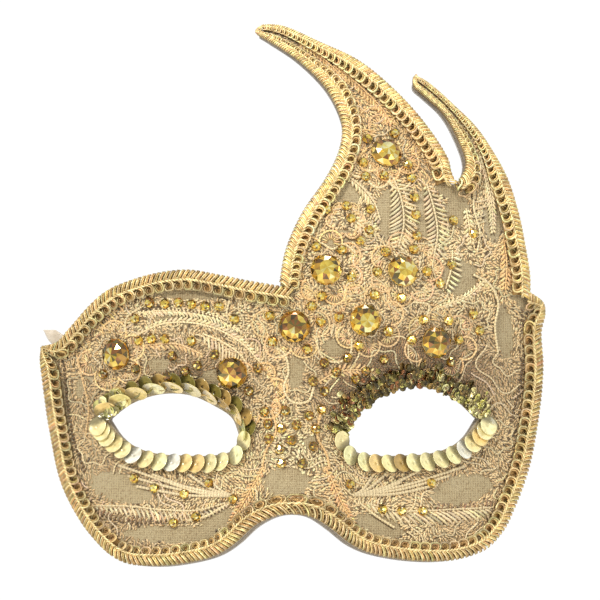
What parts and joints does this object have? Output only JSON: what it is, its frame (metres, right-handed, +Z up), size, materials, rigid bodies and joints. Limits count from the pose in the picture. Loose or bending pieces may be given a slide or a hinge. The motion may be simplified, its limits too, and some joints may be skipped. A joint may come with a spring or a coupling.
{
  "type": "masquerade mask",
  "caption": "Half face mask with two curled horns on one side, covered in gold lace, with braided edges, sequinned eye openings and faceted stones.",
  "frame": {"origin": "on the lining over the bridge of the nose, on the line of the eyes", "axes": "+Z up the face, +Y towards the wearer, +X to the right seen from the front; the mask faces -Y"},
  "size_m": [0.1716, 0.0694, 0.1835],
  "materials": {
    "shell": "moulded, matt",
    "cloth": "smooth pale knitted cloth",
    "lace": "fine net with gold and peach embroidery",
    "lining": "soft napped cloth",
    "braid": "metallic gold gimp",
    "sequins": "metallised pale gold",
    "glitter": "green and gold glitter",
    "stones": "faceted, foil backed",
    "ribbon": "thin satin"
  },
  "bodies": {
    "root": {"lining": "lining", "shell": "shell", "cover_cloth": "cloth", "lace_overlay": "lace", "left_brow_braid": "braid", "tall_horn_inner_braid": "braid", "tall_horn_outer_braid": "braid", "short_horn_inner_braid": "braid", "short_horn_outer_braid": "braid", "right_side_braid": "braid", "bottom_braid": "braid", "left_side_braid": "braid", "left_upper_sequins": "sequins", "left_lower_sequins": "sequins", "right_lower_sequins": "sequins", "right_upper_glitter": "glitter", "left_temple_stone": "stones", "nose_stone": "stones", "left_centre_stone": "stones", "right_centre_stone": "stones", "right_brow_stone": "stones", "left_forehead_stone": "stones", "right_forehead_stone": "stones", "tall_horn_stone": "stones", "small_stone_01": "stones", "small_stone_02": "stones", "small_stone_03": "stones", "small_stone_04": "stones", "small_stone_05": "stones", "small_stone_06": "stones", "small_stone_07": "stones", "small_stone_08": "stones", "small_stone_09": "stones", "small_stone_10": "stones", "small_stone_11": "stones", "small_stone_12": "stones", "small_stone_13": "stones", "small_stone_14": "stones", "small_stone_15": "stones", "small_stone_16": "stones", "small_stone_17": "stones", "small_stone_18": "stones", "small_stone_19": "stones", "small_stone_20": "stones", "small_stone_21": "stones", "small_stone_22": "stones", "small_stone_23": "stones", "small_stone_24": "stones", "small_stone_25": "stones", "small_stone_26": "stones", "small_stone_27": "stones", "small_stone_28": "stones", "small_stone_29": "stones", "small_stone_30": "stones", "small_stone_31": "stones", "small_stone_32": "stones", "small_stone_33": "stones", "left_ribbon_tab": "ribbon", "right_ribbon_tab": "ribbon"}
  },
  "joints": []
}
